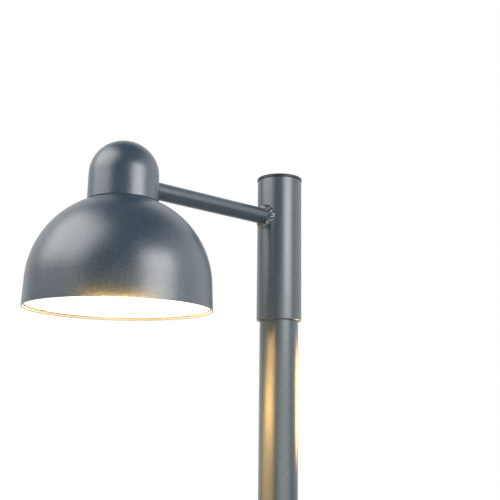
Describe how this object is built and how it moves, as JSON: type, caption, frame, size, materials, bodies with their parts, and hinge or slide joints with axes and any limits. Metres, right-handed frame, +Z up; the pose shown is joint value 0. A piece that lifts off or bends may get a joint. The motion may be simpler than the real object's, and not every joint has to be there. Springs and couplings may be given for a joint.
{
  "type": "park lantern",
  "caption": "Park lantern on a straight round post with a foot flange: slip-on sleeve, short welded tube arm, thimble housing over a bell shade, flat opal diffuser.",
  "frame": {"origin": "centre of the foot flange's underside, on the post's axis and on the circle of the anchor holes", "axes": "+Z up along the post, -X along the arm from the post towards the lamp head"},
  "size_m": [0.5249, 0.25, 2.2496],
  "materials": {
    "coated_steel": "fine-textured semi-matt powder coat",
    "coated_aluminium": "fine-textured semi-matt powder coat",
    "zinc_steel": "zinc plated",
    "black_plastic": "moulded, satin",
    "black_rubber": "moulded",
    "bare_aluminium": "turned",
    "white_reflector": "white powder coat",
    "light_board": "solder mask",
    "light_chip": "silicone lens",
    "white_plastic": "moulded",
    "foam": "closed-cell foam",
    "opal": "opal, lit from inside"
  },
  "bodies": {
    "root": {"foot_flange": "coated_steel", "foot_weld": "coated_steel", "post": "coated_steel", "sleeve": "coated_steel", "arm": "coated_steel", "arm_weld": "coated_steel", "housing": "coated_aluminium", "shade": "coated_aluminium", "stop_ring": "zinc_steel", "set_screw_1": "zinc_steel", "set_screw_2": "zinc_steel", "arm_lock_screw": "zinc_steel", "shade_screw_1": "zinc_steel", "shade_screw_2": "zinc_steel", "shade_screw_3": "zinc_steel", "led_screw_1": "zinc_steel", "led_screw_2": "zinc_steel", "led_screw_3": "zinc_steel", "rivet_nut_1": "zinc_steel", "rivet_nut_2": "zinc_steel", "rivet_nut_3": "zinc_steel", "diffuser_screw_1": "zinc_steel", "diffuser_screw_2": "zinc_steel", "diffuser_screw_3": "zinc_steel", "driver_screw_1": "zinc_steel", "driver_screw_2": "zinc_steel", "sleeve_cap": "black_plastic", "arm_grommet": "black_rubber", "shade_seal": "black_rubber", "heat_plate": "bare_aluminium", "reflector": "white_reflector", "led_board": "light_board", "led_chips": "light_chip", "driver": "white_plastic", "terminal_block": "white_plastic", "diffuser_gasket": "foam", "diffuser": "opal"}
  },
  "joints": []
}
